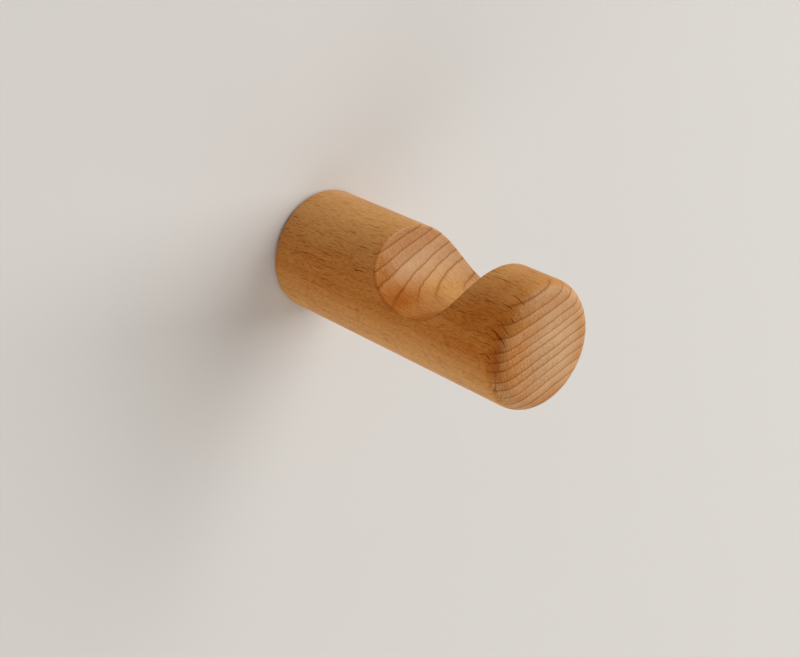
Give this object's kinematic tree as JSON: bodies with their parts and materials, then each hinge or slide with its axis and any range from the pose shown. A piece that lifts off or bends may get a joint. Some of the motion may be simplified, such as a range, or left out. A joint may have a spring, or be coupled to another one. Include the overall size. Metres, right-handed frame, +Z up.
{
  "type": "curtain pole bracket",
  "caption": "Round wooden curtain pole bracket: a turned beech peg that stands out from the wall, with a saddle cut across its top for the pole and a screw in its back.",
  "frame": {"origin": "middle of the peg's back face, which lies flat on the wall", "axes": "+X to the right along the wall and along the pole, +Y into the wall along the peg's axis, +Z up"},
  "size_m": [0.036, 0.136, 0.036],
  "materials": {
    "oiled_beech": "sanded and lightly oiled",
    "zinc_plated_steel": "bright zinc plating"
  },
  "bodies": {
    "root": {"bracket_peg": "oiled_beech", "dowel_screw": "zinc_plated_steel"}
  },
  "joints": []
}
